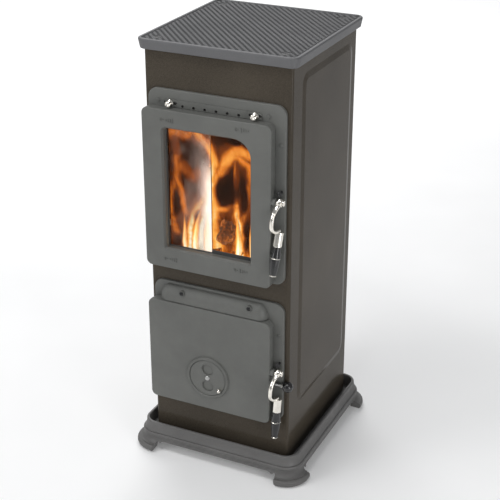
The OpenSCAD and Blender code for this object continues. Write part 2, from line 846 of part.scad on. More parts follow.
module slide_knobs() {
    out = frame_y - 1.5 - 0.4;
    crown = curve([3.6, 5], [7.4, 8.4], [6.4, 13], [2.6, 12], 8);
    knob = concat([[0, 0], [6.5, 0], [6.5, 1.4], [3.6, 3]], crown, [[0, 11]]);
    color(steel) for (x = slide_knob_x) {
        rod_y_axis(x, slide_knob_z, out, -half_d - 2.3, 2.5);
        rod_y_axis(x, slide_knob_z, -half_d - 2.4, -half_d - 0.4, 2);
        translate([x, out, slide_knob_z]) rotate([90, 0, 0]) rotate_extrude()
            polygon(knob);
    }
}

// ---------- inside ----------

module shelf_brackets() {
    color(steel) for (z = [ash_floor_z - 4, grate_z - 8], s = [-1, 1])
        scale([s, 1, 1]) {
            translate([half_w - casing_t - 18, -half_d + 12, z - 3]) cube([18, body_d - 24, 3]);
            translate([half_w - casing_t - 3, -half_d + 12, z - 20]) cube([3, body_d - 24, 18]);
        }
}

// A shelf that fills the casing from side to side, with its top at z.
module shelf(z, t) {
    by = 2 * (casing_t + 0.2);
    rounded_slab(body_w - by, body_d - by, corner_r - casing_t, z - t, t);
}

module ash_floor() {
    color(steel) shelf(ash_floor_z, 4);
}

module grate_frame() {
    x = [grate_hole[0], grate_hole[1]];
    y = [grate_hole[2], grate_hole[3]];
    color(iron) difference() {
        shelf(grate_z, 8);
        translate([x[0], y[0], grate_z - 5]) cube([x[1] - x[0], y[1] - y[0], 9]);
        translate([x[0], y[0] + 8, grate_z - 10]) cube([x[1] - x[0], y[1] - y[0] - 16, 12]);
    }
}

module shaker_grate() {
    x0 = grate_hole[0] + 1;
    x1 = grate_hole[1] - rod_travel - 1;
    y0 = grate_hole[2] + 1;
    y1 = grate_hole[3] - 1;
    slots = 8;
    pitch = (x1 - x0 - 8) / slots;
    color(iron) difference() {
        translate([x0, y0, grate_z - 4.8]) cube([x1 - x0, y1 - y0, 6]);
        for (i = [0:slots - 1], side = [0, 1])
            translate([x0 + 6 + i * pitch, side == 0 ? y0 + 10 : 6, grate_z - 6])
                cube([pitch - 6, y1 - 22, 9]);
    }
}

module side_liner() {
    color(stone) translate([liner_x, -half_d + 6, grate_z]) cube([20, body_d - 12, liner_top - grate_z]);
}

module left_liner() {
    mirror([1, 0, 0]) side_liner();
}

module right_liner() {
    side_liner();
}

module rear_liner() {
    color(stone) translate([-liner_x + 0.3, half_d - 24, grate_z])
        cube([2 * liner_x - 0.6, 20, liner_top - grate_z]);
}

module log_guard() {
    color(iron) difference() {
        translate([-liner_x + 0.5, -half_d + 6, grate_z]) cube([2 * liner_x - 1, 6, 46]);
        for (i = [0:8]) translate([-98 + i * 22, -half_d, grate_z + 14]) cube([10, 20, 20]);
    }
}

module baffle_plate() {
    color(stone) translate([-liner_x - 19, -90, liner_top]) cube([2 * liner_x + 38, half_d + 84, 12]);
}

module ash_pan() {
    x = [pan[0], pan[1]];
    y = [pan[2], pan[3]];
    sheet = 1.5;
    color(steel) {
        difference() {
            translate([x[0], y[0], ash_floor_z]) cube([x[1] - x[0], y[1] - y[0], pan_h]);
            translate([x[0] + sheet, y[0] + sheet, ash_floor_z + sheet])
                cube([x[1] - x[0] - 2 * sheet, y[1] - y[0] - 2 * sheet, pan_h]);
        }
        translate([-32, y[0] - 6, ash_floor_z + 44]) cube([60, 7, 3]);
    }
}

// ---------- riddling gear ----------

module riddle_rod() {
    up_z = grate_z - 4.8;
    ball_face = ball_x - sqrt(pow(ball_r, 2) - pow(rod_r + 1.2, 2));
    color(steel) {
        rod_x_axis(rod_crank_x, ball_face, rod_y, rod_z, rod_r);
        rod_x_axis(ball_face - 5, ball_face, rod_y, rod_z, rod_r + 1.2);
        translate([rod_crank_x, rod_y, rod_z]) sphere(r = rod_r);
        rod_y_axis(rod_crank_x, rod_z, rod_y, rod_up_y, rod_r);
        translate([rod_crank_x, rod_up_y, rod_z]) sphere(r = rod_r);
        translate([rod_crank_x, rod_up_y, rod_z]) cylinder(h = up_z - rod_z, r = rod_r);
    }
}

module ball_knob() {
    neck = asin((rod_r + 1.2) / ball_r);
    steps = 18;
    arc = [for (i = [0:steps]) let (a = neck + (180 - neck) * i / steps) [ball_r * sin(a), -ball_r * cos(a)]];
    color(black) translate([ball_x, rod_y, rod_z]) rotate([0, 90, 0])
        rotate_extrude() polygon(concat([[0, -ball_r * cos(neck)]], arc));
}

// ---------- flue ----------

collar_screws_at = [for (a = [45:90:315]) [67 * cos(a), flue_z + 67 * sin(a)]];

module collar_screw_holes(y, depth) {
    for (p = collar_screws_at) rod_y_axis(p[0], p[1], y, y + depth, 2.6);
}

module flue_collar() {
    y0 = half_d + casing_t;
    color(iron) difference() {
        union() {
            rod_y_axis(0, flue_z, y0, y0 + 5, 74);
            rod_y_axis(0, flue_z, y0, half_d + flue_reach, flue_r);
        }
        rod_y_axis(0, flue_z, y0 - 1, half_d + flue_reach + 1, flue_r - 4);
        collar_screw_holes(y0 - 1, 8);
    }
}

module collar_screws() {
    y0 = half_d + casing_t;
    color(steel) for (p = collar_screws_at) {
        pan_head(p[0], p[1], y0 + 5, 4.2, -1);
        rod_y_axis(p[0], p[1], y0 - 6, y0 + 5, 2.5);
    }
}

// ---------- the nodes ----------

base_casting();
casing();
rear_panel();
rear_screws();
top_plate();
top_screws();
upper_frame();
lower_frame();
frame_screws();
hood_screws();
shelf_brackets();
ash_floor();
grate_frame();
left_liner();
right_liner();
rear_liner();
log_guard();
baffle_plate();
flue_collar();
collar_screws();
color(black) catch(up_latch_z);  // upper_catch
color(black) catch(low_latch_z);  // lower_catch
color(steel) hinge_pins(up_hinge_z);  // upper_hinge_pins
color(steel) hinge_pins(low_hinge_z);  // lower_hinge_pins
ash_pan();
upper_door();
door_glass();
glass_gasket();
glass_clips();
clip_screws();
color(stone) rope_seal(up_open_z);  // upper_seal
color(steel) latch_pin(up_latch_z);  // upper_latch_pin
lower_door();
color(stone) rope_seal(low_open_z);  // lower_seal
disc_rivet();
color(steel) latch_pin(low_latch_z);  // lower_latch_pin
air_disc();
disc_lug();
color(steel) lever(up_latch_z, up_lean);  // upper_lever
color(steel) sleeve(up_latch_z, up_lean);  // upper_sleeve
color(black) grip(up_latch_z, up_lean);  // upper_grip
color(steel) grip_ring(up_latch_z, up_lean);  // upper_grip_ring
color(steel) end_cap(up_latch_z, up_lean);  // upper_end_cap
color(steel) lever(low_latch_z, low_lean);  // lower_lever
color(steel) sleeve(low_latch_z, low_lean);  // lower_sleeve
color(black) grip(low_latch_z, low_lean);  // lower_grip
color(steel) grip_ring(low_latch_z, low_lean);  // lower_grip_ring
color(steel) end_cap(low_latch_z, low_lean);  // lower_end_cap
air_slide();
slide_knobs();
riddle_rod();
ball_knob();
shaker_grate();
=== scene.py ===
import json
import math
import random

import bmesh
import bpy
from mathutils import Matrix, Vector, noise


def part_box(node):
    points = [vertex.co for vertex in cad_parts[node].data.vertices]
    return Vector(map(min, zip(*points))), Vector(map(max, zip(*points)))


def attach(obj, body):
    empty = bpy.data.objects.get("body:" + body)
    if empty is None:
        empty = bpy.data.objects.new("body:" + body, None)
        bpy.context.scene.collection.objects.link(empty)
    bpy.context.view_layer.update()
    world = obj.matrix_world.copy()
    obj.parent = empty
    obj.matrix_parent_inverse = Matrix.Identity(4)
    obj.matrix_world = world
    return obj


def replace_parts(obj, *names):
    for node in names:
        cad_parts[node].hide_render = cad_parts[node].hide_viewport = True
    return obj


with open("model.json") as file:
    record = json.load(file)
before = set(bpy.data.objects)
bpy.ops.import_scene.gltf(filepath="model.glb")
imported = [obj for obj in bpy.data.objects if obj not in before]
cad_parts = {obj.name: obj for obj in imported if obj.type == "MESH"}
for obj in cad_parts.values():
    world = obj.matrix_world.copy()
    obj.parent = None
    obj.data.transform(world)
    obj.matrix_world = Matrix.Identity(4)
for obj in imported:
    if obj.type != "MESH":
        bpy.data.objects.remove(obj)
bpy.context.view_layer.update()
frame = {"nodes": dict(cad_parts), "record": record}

# Lengths are in metres unless a name ends in _mm. +X is right, -Y is the front, +Z is up.
MM = 0.001
RANDOM = random.Random(7)
# Without a seed, noise_vector starts from the clock and the fire changes with each run.
noise.seed_set(1)
SLOT_OF = {part["node"]: part["material_slot"] for part in frame["record"]["subparts"]}


# ---------- node materials ----------


class Shader:
    """A material made of nodes, with textures measured in metres on the object itself."""

    def __init__(self, name, colour, roughness, metallic=0.0, **sockets):
        self.material = bpy.data.materials.new(name)
        self.material.use_nodes = True
        self.tree = self.material.node_tree
        self.surface = self.tree.nodes["Principled BSDF"]
        self.place = self.tree.nodes.new("ShaderNodeTexCoord").outputs["Object"]
        self.set("Base Color", (*colour, 1.0))
        self.set("Roughness", roughness)
        self.set("Metallic", metallic)
        for socket, value in sockets.items():
            self.set(socket.replace("_", " "), value)

    def set(self, socket, value):
        self.put(self.surface.inputs[socket], value)

    def put(self, socket, value):
        """Joins an output to a socket, or sets the socket's own value."""
        if isinstance(value, bpy.types.NodeSocket):
            self.tree.links.new(value, socket)
        else:
            socket.default_value = value

    def math(self, operation, a, b=0.0):
        node = self.tree.nodes.new("ShaderNodeMath")
        node.operation = operation
        self.put(node.inputs[0], a)
        self.put(node.inputs[1], b)
        return node.outputs[0]

    def stretch(self, scale, place=None, turn=(0, 0, 0)):
        """Texture coordinates scaled along each axis."""
        node = self.tree.nodes.new("ShaderNodeMapping")
        self.put(node.inputs["Vector"], place or self.place)
        node.inputs["Scale"].default_value = scale
        node.inputs["Rotation"].default_value = turn
        return node.outputs[0]

    def noise(self, scale, detail=3.0, roughness=0.55, place=None, distortion=0.0):
        node = self.tree.nodes.new("ShaderNodeTexNoise")
        self.put(node.inputs["Vector"], place or self.place)
        node.inputs["Scale"].default_value = scale
        node.inputs["Detail"].default_value = detail
        node.inputs["Roughness"].default_value = roughness
        node.inputs["Distortion"].default_value = distortion
        return node.outputs["Fac"]

    def cracks(self, scale, place=None, randomness=1.0):
        """Distance from the borders of random cells."""
        node = self.tree.nodes.new("ShaderNodeTexVoronoi")
        node.feature = "DISTANCE_TO_EDGE"
        self.put(node.inputs["Vector"], place or self.place)
        node.inputs["Scale"].default_value = scale
        node.inputs["Randomness"].default_value = randomness
        return node.outputs["Distance"]

    def span(self, value, low, high, out_low=0.0, out_high=1.0):
        """Maps low..high to out_low..out_high, smoothly and clamped."""
        node = self.tree.nodes.new("ShaderNodeMapRange")
        node.interpolation_type = "SMOOTHSTEP"
        self.put(node.inputs["Value"], value)
        node.inputs["From Min"].default_value = low
        node.inputs["From Max"].default_value = high
        node.inputs["To Min"].default_value = out_low
        node.inputs["To Max"].default_value = out_high
        return node.outputs["Result"]

    def ramp(self, value, *stops):
        """Colour ramp of (position, (r, g, b)) stops."""
        node = self.tree.nodes.new("ShaderNodeValToRGB")
        self.put(node.inputs["Fac"], value)
        elements = node.color_ramp.elements
        while len(elements) < len(stops):
            elements.new(1.0)
        for element, (position, colour) in zip(elements, stops):
            element.position = position
            element.color = (*colour, 1.0)
        return node.outputs["Color"]

    def mix(self, share, a, b):
        """Blend of two colours."""
        node = self.tree.nodes.new("ShaderNodeMix")
        node.data_type = "RGBA"
        self.put(node.inputs["Factor"], share)
        self.put(node.inputs[6], a)
        self.put(node.inputs[7], b)
        return node.outputs[2]

    def axis(self, index, place=None):
        node = self.tree.nodes.new("ShaderNodeSeparateXYZ")
        self.put(node.inputs[0], place or self.place)
        return node.outputs[index]

    def wave(self, scale, direction):
        """Rounded stripes across a direction, as a 0..1 value."""
        dot = self.tree.nodes.new("ShaderNodeVectorMath")
        dot.operation = "DOT_PRODUCT"
        self.put(dot.inputs[0], self.place)
        dot.inputs[1].default_value = Vector(direction).normalized() * (math.pi * scale)
        return self.math("ABSOLUTE", self.math("SINE", dot.outputs["Value"]))

    def bump(self, height, depth_mm, strength=1.0):
        """Adds a bump of that depth on top of the bumps that are there."""
        node = self.tree.nodes.new("ShaderNodeBump")
        self.put(node.inputs["Height"], height)
        node.inputs["Strength"].default_value = strength
        node.inputs["Distance"].default_value = depth_mm * MM
        normal = self.surface.inputs["Normal"]
        if normal.is_linked:
            self.put(node.inputs["Normal"], normal.links[0].from_socket)
        self.put(normal, node.outputs["Normal"])


def shade(colour, factor):
    return tuple(min(1.0, part * factor) for part in colour)


def cast_paint(name, colour, roughness, grain=1.0):
    """Satin stove paint on sand-cast iron: fine pits, slight unevenness and mottled colour."""
    s = Shader(name, colour, roughness, Specular_IOR_Level=0.42)
    grit = s.noise(900, 2.0, 0.6)
    swell = s.noise(55, 3.0, 0.5)
    cloud = s.noise(9, 4.0, 0.6)
    tone = s.math("ADD", s.math("MULTIPLY", grit, 0.45), s.math("MULTIPLY", cloud, 0.55))
    s.set("Base Color", s.ramp(tone, (0.36, shade(colour, 0.86)), (0.64, shade(colour, 1.15))))
    s.set("Roughness", s.span(swell, 0.3, 0.7, roughness - 0.07, roughness + 0.08))
    s.bump(grit, 0.16 * grain, 0.55)
    s.bump(swell, 0.30 * grain, 0.35)
    return s.material


def top_iron():
    """Cast paint of the top plate, darker in the ribbed field than on the rubbed rim."""
    colour = (0.125, 0.125, 0.129)
    s = Shader("top_iron", colour, 0.52, Specular_IOR_Level=0.42)
    grit = s.noise(900, 2.0, 0.6)
    cloud = s.noise(9, 4.0, 0.6)
    tone = s.math("ADD", s.math("MULTIPLY", grit, 0.5), s.math("MULTIPLY", cloud, 0.5))
    low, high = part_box("top_plate")
    reach_x = (high.x - low.x) / 2 - 7.4 * MM
    reach_y = (high.y - low.y) / 2 - 7.4 * MM
    past_x = s.math("SUBTRACT", s.math("ABSOLUTE", s.axis(0)), reach_x)
    past_y = s.math("SUBTRACT", s.math("ABSOLUTE", s.axis(1)), reach_y)
    rim = s.span(s.math("MAXIMUM", past_x, past_y), -0.4 * MM, 0.4 * MM)
    rubbed = s.ramp(tone, (0.36, shade(colour, 0.88)), (0.64, shade(colour, 1.12)))
    field = s.ramp(tone, (0.36, (0.026, 0.026, 0.028)), (0.64, (0.044, 0.044, 0.047)))
    s.set("Base Color", s.mix(rim, field, rubbed))
    s.set("Roughness", s.span(cloud, 0.3, 0.7, 0.46, 0.58))
    s.bump(grit, 0.16, 0.5)
    return s.material


def enamel():
    """Satin brown enamel with a fine metallic fleck and a slight orange peel."""
    colour = (0.060, 0.050, 0.038)
    s = Shader("enamel", colour, 0.28, Specular_IOR_Level=0.03)
    s.set("Specular Tint", (0.66, 0.57, 0.47, 1.0))
    s.set("Coat Weight", 0.22)
    s.set("Coat Roughness", 0.08)
    fleck = s.noise(1500, 1.0, 0.5)
    cloud = s.noise(6, 2.0, 0.5)
    tone = s.math("ADD", s.math("MULTIPLY", fleck, 0.7), s.math("MULTIPLY", cloud, 0.3))
    s.set("Base Color", s.ramp(tone, (0.36, shade(colour, 0.72)), (0.66, shade(colour, 1.45))))
    s.set("Roughness", s.span(fleck, 0.3, 0.7, 0.24, 0.34))
    s.bump(s.noise(120, 1.0, 0.4), 0.05, 0.10)
    s.bump(fleck, 0.02, 0.15)
    return s.material


def bright_metal(name, colour, roughness, brushed=(1, 1, 1)):
    """Plated or bright metal with faint polishing marks and dulled patches."""
    s = Shader(name, colour, roughness, 1.0)
    marks = s.noise(420, 3.0, 0.6, s.stretch(brushed))
    dull = s.noise(60, 3.0, 0.6)
    s.set("Base Color", s.ramp(dull, (0.32, shade(colour, 0.86)), (0.62, colour)))
    s.set("Roughness", s.span(dull, 0.35, 0.75, roughness, roughness * 1.9))
    s.bump(marks, 0.03, 0.25)
    return s.material


def black_metal():
    """Blued steel, worn bright in small spots."""
    s = Shader("dark_steel", (0.03, 0.03, 0.031), 0.38, 0.55)
    worn = s.noise(260, 4.0, 0.65)
    s.set("Base Color", s.ramp(worn, (0.45, (0.022, 0.022, 0.023)), (0.72, (0.10, 0.098, 0.095))))
    s.set("Roughness", s.span(worn, 0.3, 0.7, 0.30, 0.5))
    s.bump(worn, 0.08, 0.3)
    return s.material


def lacquer():
    """Glossy black grip."""
    s = Shader("grip", (0.010, 0.010, 0.011), 0.18, Coat_Weight=0.35, Coat_Roughness=0.05)
    smear = s.noise(90, 3.0, 0.6)
    s.set("Base Color", s.ramp(smear, (0.3, (0.008, 0.008, 0.009)), (0.7, (0.020, 0.019, 0.019))))
    s.set("Roughness", s.span(smear, 0.3, 0.75, 0.12, 0.26))
    s.bump(s.noise(300, 2.0), 0.03, 0.12)
    return s.material


def brick():
    """Pressed firebrick, sooted in patches."""
    s = Shader("firebrick", (0.30, 0.24, 0.17), 0.95)
    speck = s.noise(500, 3.0, 0.7)
    soot = s.noise(16, 4.0, 0.6)
    tone = s.math("ADD", s.math("MULTIPLY", speck, 0.35), s.math("MULTIPLY", soot, 0.65))
    s.set("Base Color", s.ramp(tone, (0.38, (0.022, 0.017, 0.013)), (0.55, (0.10, 0.070, 0.045)),
                               (0.72, (0.26, 0.20, 0.14))))
    s.bump(speck, 0.6, 0.6)
    s.bump(s.cracks(70), 0.4, 0.25)
    return s.material


def woven(name, dark, light, pitch_mm):
    """Woven glass fibre: crossed threads with stray fluff."""
    s = Shader(name, light, 0.9, Sheen_Weight=0.35)
    scale = 1.0 / (pitch_mm * MM)
    threads = s.math("MULTIPLY", s.wave(scale, (1, 0, 1)), s.wave(scale, (1, 0, -1)))
    fluff = s.noise(700, 4.0, 0.7)
    tone = s.math("ADD", s.math("MULTIPLY", threads, 0.6), s.math("MULTIPLY", fluff, 0.5))
    s.set("Base Color", s.ramp(tone, (0.15, dark), (0.75, light)))
    s.bump(tone, 0.4, 0.7)
    return s.material


def clear_glass():
    """Clear glass that is slightly dulled in patches."""
    s = Shader("glass", (0.96, 0.93, 0.88), 0.0, Transmission_Weight=1.0, IOR=1.12)
    s.set("Roughness", s.span(s.noise(40, 3.0), 0.45, 0.9, 0.0, 0.03))
    return s.material


def smoke_film_painted_glow():
    """Pale smoke film on the inside of the left pane, with a painted reflection and a painted glow that are
    strongest along its inner edge.
    """
    s = Shader("smoke_film_painted_glow", (0.80, 0.74, 0.70), 0.75, Specular_IOR_Level=0.0)
    # near, height and edge mask the painted glow and painted reflection: strongest along the pane's inner
    # edge by the joint.
    near = s.span(s.axis(0), -0.056, -0.011)
    height = s.span(s.axis(2), 0.705, 0.585)
    edge = s.math("MULTIPLY", s.math("MULTIPLY", near, near), height)
    patchy = s.span(s.noise(19, 3.0, 0.55, s.stretch((1, 1, 0.6))), 0.38, 0.70, 0.0, 0.34)
    # veil: patchy pale film, partly smoke and partly painted reflection.
    veil = s.math("MULTIPLY", patchy, s.span(s.axis(0), -0.100, -0.060, 0.2, 1.0))
    s.set("Alpha", s.math("ADD", s.math("MULTIPLY", edge, 0.62), veil))
    s.set("Base Color", s.ramp(near, (0.2, (0.40, 0.33, 0.31)), (0.9, (0.86, 0.82, 0.80))))
    # Painted glow: the film shines as if lit by the fire behind it, whitest along its inner edge.
    s.set("Emission Color", s.ramp(edge, (0.0, (0.10, 0.055, 0.045)), (0.5, (0.55, 0.46, 0.44)),
                                   (1.0, (1.0, 0.95, 0.88))))
    s.set("Emission Strength", 0.75)
    return s.material


FIRE_STOPS = (
    (0.00, (0.006, 0.002, 0.001)),
    (0.22, (0.030, 0.008, 0.003)),
    (0.40, (0.22, 0.048, 0.008)),
    (0.58, (0.72, 0.20, 0.022)),
    (0.76, (1.0, 0.46, 0.09)),
    (0.90, (1.0, 0.80, 0.42)),
    (1.00, (1.0, 0.95, 0.80)),
)


def glow(shader, heat, strength):
    """Makes a surface shine with the colours of fire."""
    shader.set("Base Color", (0.010, 0.006, 0.004, 1.0))
    shader.set("Emission Color", shader.ramp(heat, *FIRE_STOPS))
    shader.set("Emission Strength", strength)
    return shader.material


def fire_haze():
    """Burning gas: the heat stored in the mesh's U, torn by fine upright streaks."""
    s = Shader("fire_haze", (0.01, 0.006, 0.004), 1.0, Specular_IOR_Level=0.0)
    stored = s.axis(0, s.tree.nodes.new("ShaderNodeUVMap").outputs["UV"])
    streaks = s.noise(70, 4.0, 0.6, s.stretch((1.0, 1.0, 0.34)), 1.2)
    torn = s.math("MULTIPLY", s.math("SUBTRACT", streaks, 0.5), 0.34)
    heat = s.math("ADD", stored, torn)
    return glow(s, heat, 1.05)


def flame_skin():
    """Flame: white-hot along its middle and base, torn and clear at its edges."""
    s = Shader("flame", (0.01, 0.006, 0.004), 1.0, Specular_IOR_Level=0.0)
    uv = s.tree.nodes.new("ShaderNodeUVMap").outputs["UV"]
    side = s.math("SUBTRACT", 1.0, s.math("ABSOLUTE", s.math("SUBTRACT", s.axis(0, uv), 0.5)))
    lick = s.noise(60, 4.0, 0.6, s.stretch((1.0, 1.0, 0.30)), 1.2)
    torn = s.math("ADD", side, s.math("MULTIPLY", s.math("SUBTRACT", lick, 0.5), 0.50))
    along = s.axis(1, uv)
    core = s.span(torn, 0.55, 1.0, 0.0, 1.0)
    heat = s.math("SUBTRACT", s.math("ADD", s.math("MULTIPLY", core, 0.60), 0.50),
                  s.math("MULTIPLY", along, 0.55))
    ends = s.math("MULTIPLY", s.span(along, 1.0, 0.55), s.span(along, 0.0, 0.12))
    s.set("Alpha", s.math("MULTIPLY", s.span(torn, 0.58, 0.88, 0.0, 0.8), ends))
    return glow(s, heat, 1.5)


def charred_wood():
    """Burning split log: ash on bark ridges, black char, and a fine glow in its fibres and splits."""
    s = Shader("log_wood", (0.05, 0.032, 0.022), 0.95)
    uv = s.tree.nodes.new("ShaderNodeUVMap").outputs["UV"]
    bark = s.noise(9.0, 5.0, 0.65, s.stretch((1.0, 7.0, 1.0), uv))
    ash = s.noise(60, 4.0, 0.6)
    tone = s.math("ADD", s.math("MULTIPLY", bark, 0.6), s.math("MULTIPLY", ash, 0.4))
    s.set("Base Color", s.ramp(tone, (0.40, (0.012, 0.009, 0.008)), (0.55, (0.09, 0.05, 0.03)),
                               (0.70, (0.30, 0.24, 0.20))))
    fibre = s.noise(240, 4.0, 0.7, s.stretch((1, 1, 0.6)), 0.6)
    low = s.span(s.noise(30, 3.0), 0.30, 0.66, 0.0, 0.14)
    split = s.span(s.cracks(60), 0.0, 0.04, 0.12, 0.0)
    heat = s.math("ADD", s.math("ADD", s.span(fibre, 0.38, 0.72, 0.16, 0.50), low), split)
    s.set("Emission Color", s.ramp(heat, *FIRE_STOPS))
    s.set("Emission Strength", 0.8)
    s.bump(bark, 2.5, 0.8)
    s.bump(fibre, 0.8, 0.6)
    return s.material


def hot_coal():
    """Ember: black crust broken by glowing cracks."""
    s = Shader("ember", (0.02, 0.016, 0.014), 1.0)
    crust = s.span(s.cracks(70), 0.0, 0.22, 0.95, 0.12)
    patch = s.span(s.noise(24, 3.0), 0.30, 0.64, 0.25, 1.05)
    s.set("Emission Color", s.ramp(s.math("MULTIPLY", crust, patch), *FIRE_STOPS))
    s.set("Emission Strength", 2.2)
    s.set("Base Color", s.ramp(s.noise(200), (0.4, (0.012, 0.010, 0.009)), (0.7, (0.16, 0.14, 0.13))))
    s.bump(s.cracks(70), 1.0, 0.7)
    return s.material


MATERIALS = {
    "enamel": enamel(),
    "door_iron": cast_paint("door_iron", (0.128, 0.130, 0.121), 0.50),
    "top_iron": top_iron(),
    "plinth_iron": cast_paint("plinth_iron", (0.125, 0.122, 0.119), 0.50, 1.3),
    "hearth_iron": cast_paint("hearth_iron", (0.030, 0.028, 0.027), 0.72, 2.0),
    "nickel": bright_metal("nickel", (0.95, 0.91, 0.83), 0.12),
    "zinc_steel": bright_metal("zinc_steel", (0.52, 0.52, 0.51), 0.28, (1, 1, 0.06)),
    "dark_steel": black_metal(),
    "grip": lacquer(),
    "firebrick": brick(),
    "glass": clear_glass(),
    "gasket": woven("gasket", (0.010, 0.010, 0.010), (0.055, 0.053, 0.050), 2.2),
    "rope": woven("rope", (0.20, 0.19, 0.17), (0.56, 0.53, 0.49), 1.1),
    "log_wood": charred_wood(),
    "ember": hot_coal(),
    "flame": flame_skin(),
    "fire_haze": fire_haze(),
    # Smoke film with a painted reflection and a painted glow.
    "smoke_film_painted_glow": smoke_film_painted_glow(),
}

for node_name, node_object in frame["nodes"].items():
    node_object.material_slots[0].material = MATERIALS[SLOT_OF[node_name]]


# ---------- mesh building ----------


def piece(name, bm, body, slot, material=None, smooth_deg=40):
    """Makes a piece from a bmesh, rides it on a body and gives it its finish."""
    bmesh.ops.recalc_face_normals(bm, faces=bm.faces)
    for face in bm.faces:
        face.smooth = True
    sharp = math.radians(smooth_deg)
    for edge in bm.edges:
        if len(edge.link_faces) == 2:
            edge.smooth = edge.calc_face_angle(0.0) < sharp
    mesh = bpy.data.meshes.new(name)
    bm.to_mesh(mesh)
    bm.free()
    mesh.materials.append(MATERIALS[material or slot])
    made = bpy.data.objects.new(name, mesh)
    bpy.context.scene.collection.objects.link(made)
    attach(made, body)
    return made


def loft(bm, rings, closed_path=False, caps=True):
    """Skins rings of points that all have the same count."""
    made = [[bm.verts.new(point) for point in ring] for ring in rings]
    count = len(made)
    faces = []
    for i in range(count if closed_path else count - 1):
        here, there = made[i], made[(i + 1) % count]
        for j in range(len(here)):
            k = (j + 1) % len(here)
            faces.append(bm.faces.new((here[j], here[k], there[k], there[j])))
    if caps and not closed_path:
        bm.faces.new(list(reversed(made[0])))
        bm.faces.new(made[-1])
    return faces


def lathe(bm, profile, matrix, steps=32):
    """Turns (radius, height) points about the matrix's Z axis. Both ends are closed."""
    rings = []
    for radius, height in profile:
        ring = []
        for i in range(steps):
            a = math.tau * i / steps
            ring.append(matrix @ Vector((radius * math.cos(a), radius * math.sin(a), height)))
        rings.append(ring)
    loft(bm, rings)


def bezier(a, b, c, d, steps):
    """Points of a cubic curve."""
    a, b, c, d = Vector(a), Vector(b), Vector(c), Vector(d)
    points = []
    for i in range(steps + 1):
        t = i / steps
        points.append((1 - t) ** 3 * a + 3 * (1 - t) ** 2 * t * b + 3 * (1 - t) * t * t * c + t ** 3 * d)
    return points


def block(bm, corners):
    """Closed block on eight corners: four below, then the four above them."""
    v = [bm.verts.new(c) for c in corners]
    for face in ((3, 2, 1, 0), (4, 5, 6, 7), (0, 1, 5, 4), (1, 2, 6, 5), (2, 3, 7, 6), (3, 0, 4, 7)):
        bm.faces.new([v[i] for i in face])


# ---------- tread of the top plate ----------


def tread_runs(inside, direction, normal, offset, reach, step):
    """Stretches of one straight rib that lie inside the field."""
    runs = []
    start = None
    last = None
    count = int(2 * reach / step)
    for i in range(count + 1):
        point = normal * offset + direction * (i * step - reach)
        if inside(point):
            start = start or point
            last = point
        elif start is not None:
            runs.append((start, last))
            start = None
    if start is not None:
        runs.append((start, last))
    return runs


def rib(bm, start, end, across, low, high, foot, crest):
    """One tapered rib with sloping ends."""
    along = (end - start).normalized()
    corners = []
    for z, half, pull in ((low, foot / 2, 0.0), (high, crest / 2, (foot - crest) / 2)):
        for point, side in ((start, -1), (end, -1), (end, 1), (start, 1)):
            inward = along * (pull if point is start else -pull)
            flat = point + inward + across * (side * half)
            corners.append(Vector((flat.x, flat.y, z)))
    block(bm, corners)


def top_tread():
    """Fine diagonal ribs of the top plate, with bare discs around the screws."""
    low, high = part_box("top_plate")
    centre = (low + high) / 2
    half_x = (high.x - low.x) / 2 - 8.6 * MM
    half_y = (high.y - low.y) / 2 - 8.6 * MM
    corner = 9 * MM
    field_z = high.z - 2 * MM
    screw_low, screw_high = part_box("top_screws")
    screw_r = 6 * MM
    bare = 9 * MM
    screws = [
        Vector((x, y))
        for x in (screw_low.x + screw_r, screw_high.x - screw_r)
        for y in (screw_low.y + screw_r, screw_high.y - screw_r)
    ]

    def inside(point):
        dx = max(abs(point.x - centre.x) - (half_x - corner), 0.0)
        dy = max(abs(point.y - centre.y) - (half_y - corner), 0.0)
        if math.hypot(dx, dy) > corner:
            return False
        return all((point - s).length > bare for s in screws)

    bm = bmesh.new()
    # Each set of ribs: angle in degrees, pitch, foot width, crest width and rise.
    sets = (
        (42.4, 9.9 * MM, 7.6 * MM, 4.6 * MM, 0.9 * MM),
        (-47.6, 4.95 * MM, 3.4 * MM, 1.4 * MM, 0.7 * MM),
    )
    reach = 0.24
    for angle, pitch, foot, crest, rise in sets:
        a = math.radians(angle)
        normal = Vector((math.cos(a), math.sin(a)))
        direction = Vector((-normal.y, normal.x))
        count = int(reach / pitch)
        for i in range(-count, count + 1):
            for start, end in tread_runs(inside, direction, normal, i * pitch, reach, MM):
                if (end - start).length > foot:
                    rib(bm, start, end, normal, field_z - 0.2 * MM, field_z + rise, foot, crest)
    piece("top_tread", bm, "stove", "top_iron", smooth_deg=20)


# ---------- latch levers ----------

LEVER_YAW = math.radians(-13)
# Where the levers' eyes sit along their cross pins.
PIN_X = 134.6 * MM


def lever_frame(pin):
    """Axes of a lever: X across the bar, -Y outwards in its plane, origin on the pin."""
    return Matrix.Translation(pin) @ Matrix.Rotation(LEVER_YAW, 4, "Z")


def bar_section(half_w, half_t, steps=20):
    """Rounded outline of the bar, between an oval and a rectangle."""
    points = []
    for i in range(steps):
        a = math.tau * i / steps
        c, s = math.cos(a), math.sin(a)
        points.append((half_w * math.copysign(abs(c) ** 0.72, c), half_t * math.copysign(abs(s) ** 0.72, s)))
    return points


def sweep_bar(bm, path, halves, matrix):
    """Sweeps the bar's section along (outwards, height) points in the lever's plane."""
    rings = []
    for i, point in enumerate(path):
        d = (path[min(i + 1, len(path) - 1)] - path[max(i - 1, 0)]).normalized()
        side = Vector((-d.y, d.x))
        half_w, half_t = halves(i / (len(path) - 1))
        ring = []
        for across, out in bar_section(half_w, half_t):
            flat = point + side * out
            ring.append(matrix @ Vector((across, -flat.x, flat.y)))
        rings.append(ring)
    loft(bm, rings)


